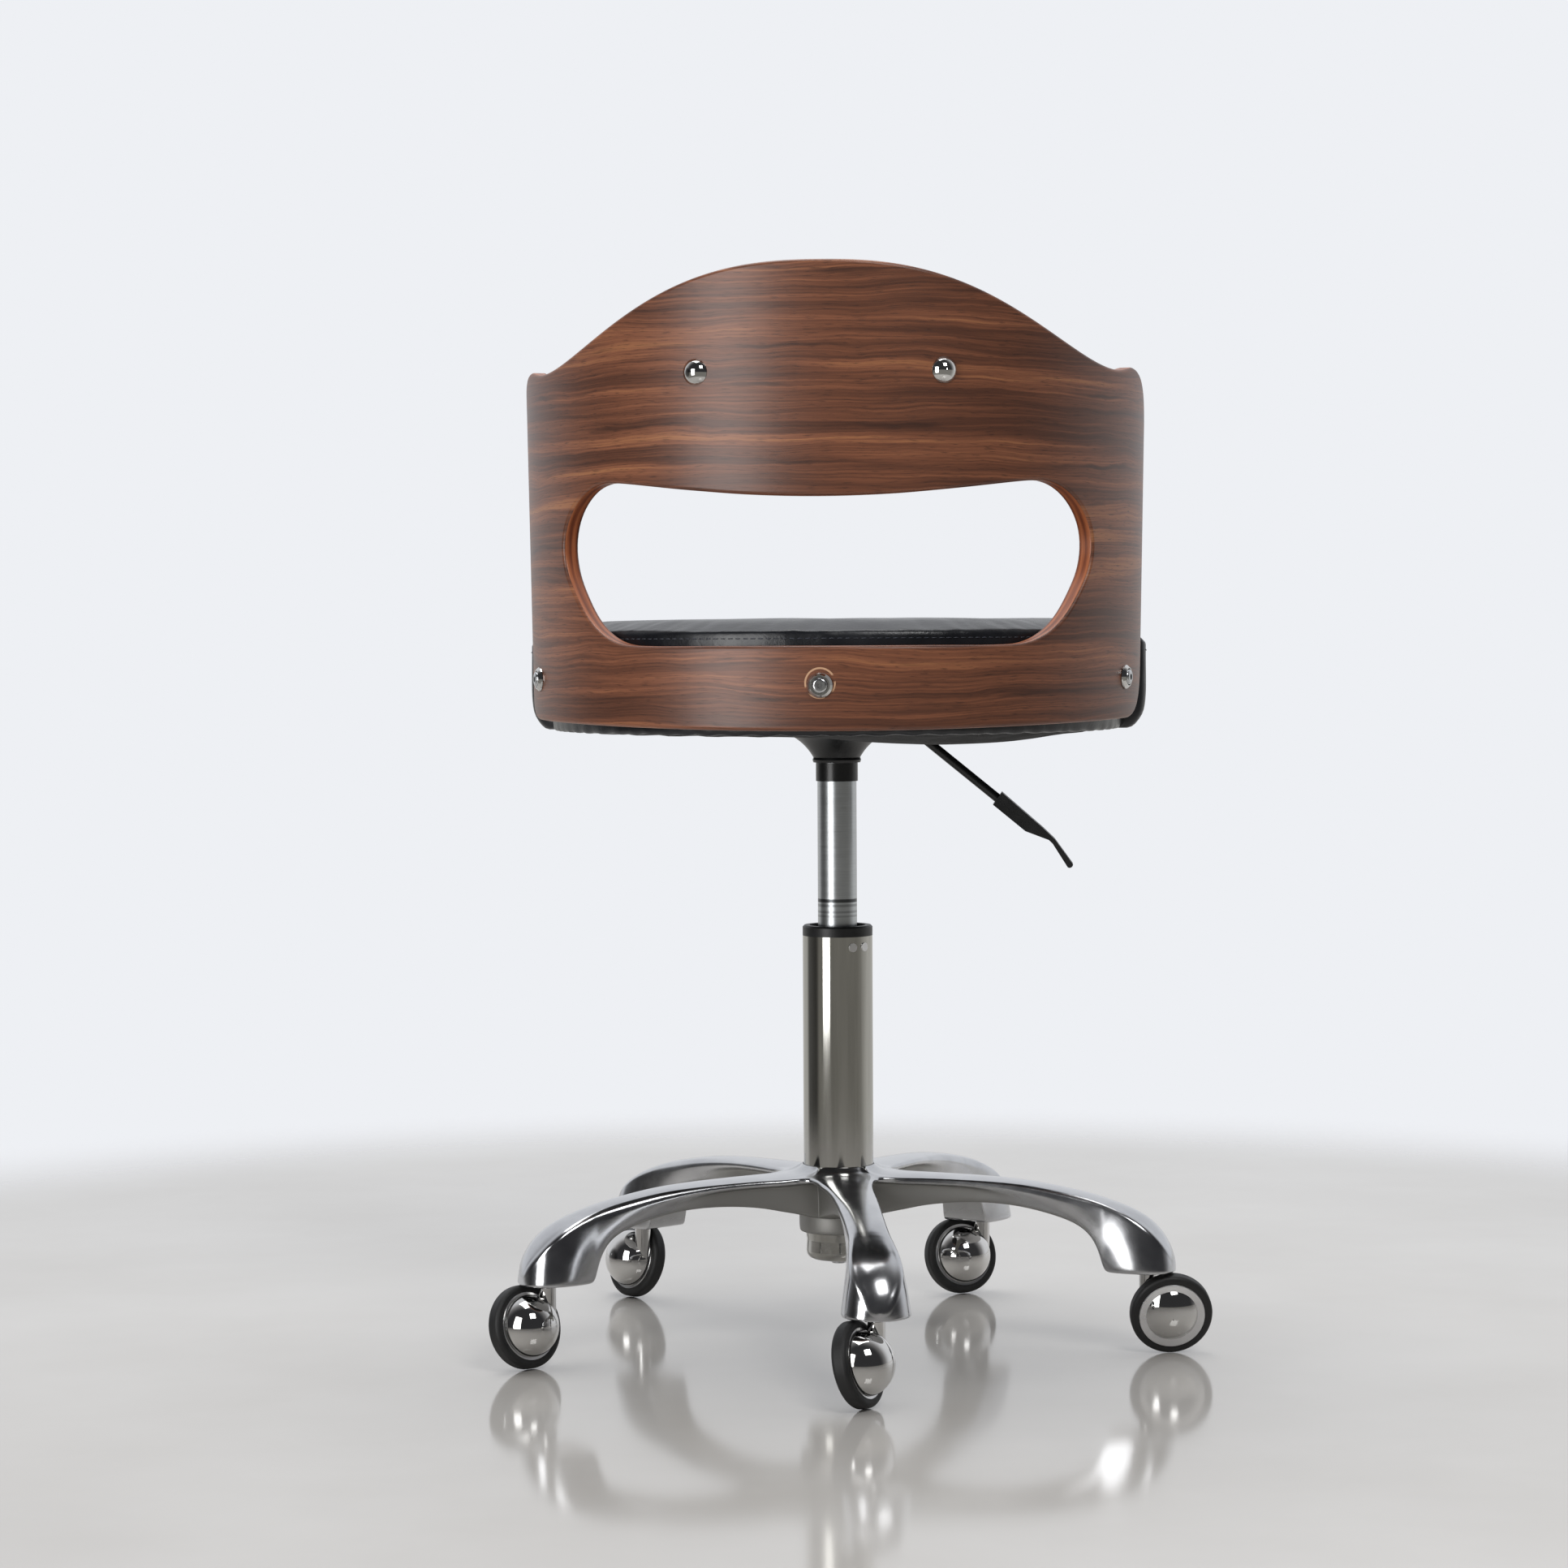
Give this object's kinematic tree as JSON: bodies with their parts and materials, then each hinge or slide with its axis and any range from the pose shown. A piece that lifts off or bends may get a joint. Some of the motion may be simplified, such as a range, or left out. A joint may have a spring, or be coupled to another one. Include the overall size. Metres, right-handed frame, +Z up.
{
  "type": "technician stool",
  "caption": "Height-adjustable stool on a castered star base, with a round upholstered seat wrapped by a bent-ply back that has a hand window and padded crest.",
  "frame": {"origin": "on the floor, on the column's axis", "axes": "+Z up along the column, +Y the way a sitter faces, back of the shell at -Y"},
  "size_m": [0.5005, 0.4808, 0.752],
  "materials": {
    "polished_aluminium": "polished",
    "chromed_tube": "polished",
    "spring_steel": "satin",
    "bright_steel": "satin",
    "black_steel": "satin",
    "black_plastic": "matte",
    "nylon": "satin",
    "chrome": "polished",
    "silver_plastic": "gloss",
    "black_rubber": "matte",
    "walnut_ply": "satin",
    "plywood": "matte",
    "black_leather": "satin",
    "black_leather_pad": "satin",
    "black_nonwoven": "matte",
    "foam": "matte"
  },
  "bodies": {
    "base": {"star_base": "polished_aluminium", "caster_sockets": "nylon", "column_tube": "chromed_tube", "column_ring": "black_plastic", "guide_bush": "nylon", "bush_rivets": "bright_steel", "thrust_bearing": "bright_steel"},
    "spindle": {"piston_rod": "bright_steel", "retaining_clip": "bright_steel"},
    "seat": {"gas_cylinder": "spring_steel", "taper_collar": "black_plastic", "hub_trumpet": "black_steel", "seat_plate": "black_steel", "lever_pin": "bright_steel", "plate_screws": "bright_steel", "seat_cover": "black_leather", "seat_board": "plywood", "side_blocks": "plywood", "seat_foam": "foam", "dust_cover": "black_nonwoven", "back_shell": "walnut_ply", "back_pad": "black_leather_pad", "back_pad_board": "plywood", "dome_bolts": "chrome", "side_washers": "chrome", "side_bolts": "bright_steel", "tee_nuts": "bright_steel"},
    "lever": {"lever_rod": "black_steel", "lever_grip": "black_plastic"},
    "button": {"release_button": "bright_steel"},
    "caster_1": {"caster_stem_1": "bright_steel", "caster_hood_1": "chrome", "caster_axle_1": "bright_steel"},
    "wheel_1": {"wheel_core_1": "silver_plastic", "tyre_1": "black_rubber", "hub_cap_1": "chrome"},
    "caster_2": {"caster_stem_2": "bright_steel", "caster_hood_2": "chrome", "caster_axle_2": "bright_steel"},
    "wheel_2": {"wheel_core_2": "silver_plastic", "tyre_2": "black_rubber", "hub_cap_2": "chrome"},
    "caster_3": {"caster_stem_3": "bright_steel", "caster_hood_3": "chrome", "caster_axle_3": "bright_steel"},
    "wheel_3": {"wheel_core_3": "silver_plastic", "tyre_3": "black_rubber", "hub_cap_3": "chrome"},
    "caster_4": {"caster_stem_4": "bright_steel", "caster_hood_4": "chrome", "caster_axle_4": "bright_steel"},
    "wheel_4": {"wheel_core_4": "silver_plastic", "tyre_4": "black_rubber", "hub_cap_4": "chrome"},
    "caster_5": {"caster_stem_5": "bright_steel", "caster_hood_5": "chrome", "caster_axle_5": "bright_steel"},
    "wheel_5": {"wheel_core_5": "silver_plastic", "tyre_5": "black_rubber", "hub_cap_5": "chrome"}
  },
  "joints": [
    {"name": "seat_swivel", "type": "hinge", "parent": "base", "child": "spindle", "pos_m": [0, 0, 0.15], "axis": [0, 0, 1], "continuous": true},
    {"name": "seat_lift", "type": "slide", "parent": "spindle", "child": "seat", "axis": [0, 0, 1], "range_m": [-0.095, 0.025]},
    {"name": "lever_lift", "type": "hinge", "parent": "seat", "child": "lever", "pos_m": [0.03, 0, 0.4526], "axis": [0, -1, 0], "range_deg": [0, 8], "stiffness_Nm_per_rad": 2},
    {"name": "button_press", "type": "slide", "parent": "seat", "child": "button", "axis": [0, 0, -1], "range_m": [0, 0.0047]},
    {"name": "caster_swivel_1", "type": "hinge", "parent": "base", "child": "caster_1", "pos_m": [0.03554, -0.21944, 0.065], "axis": [0, 0, 1], "continuous": true},
    {"name": "wheel_roll_1", "type": "hinge", "parent": "caster_1", "child": "wheel_1", "pos_m": [0.02392, -0.23143, 0.02883], "axis": [0.8977, -0.3682, 0.2419], "continuous": true},
    {"name": "caster_swivel_2", "type": "hinge", "parent": "base", "child": "caster_2", "pos_m": [0.21968, -0.03401, 0.065], "axis": [0, 0, 1], "continuous": true},
    {"name": "wheel_roll_2", "type": "hinge", "parent": "caster_2", "child": "wheel_2", "pos_m": [0.2358, -0.03836, 0.02883], "axis": [-0.1132, 0.9637, 0.2419], "continuous": true},
    {"name": "caster_swivel_3", "type": "hinge", "parent": "base", "child": "caster_3", "pos_m": [0.10023, 0.19842, 0.065], "axis": [0, 0, 1], "continuous": true},
    {"name": "wheel_roll_3", "type": "hinge", "parent": "caster_3", "child": "wheel_3", "pos_m": [0.08362, 0.19671, 0.02883], "axis": [0.451, -0.8591, 0.2419], "continuous": true},
    {"name": "caster_swivel_4", "type": "hinge", "parent": "base", "child": "caster_4", "pos_m": [-0.15774, 0.15664, 0.065], "axis": [0, 0, 1], "continuous": true},
    {"name": "wheel_roll_4", "type": "hinge", "parent": "caster_4", "child": "wheel_4", "pos_m": [-0.16396, 0.17213, 0.02883], "axis": [-0.7015, -0.6704, 0.2419], "continuous": true},
    {"name": "caster_swivel_5", "type": "hinge", "parent": "base", "child": "caster_5", "pos_m": [-0.19772, -0.10161, 0.065], "axis": [0, 0, 1], "continuous": true},
    {"name": "wheel_roll_5", "type": "hinge", "parent": "caster_5", "child": "wheel_5", "pos_m": [-0.21274, -0.1089, 0.02883], "axis": [0.7177, -0.653, 0.2419], "continuous": true}
  ],
  "couplings": [
    {"joint": "button_press", "follows": "lever_lift", "m_per_rad": 0.033}
  ]
}
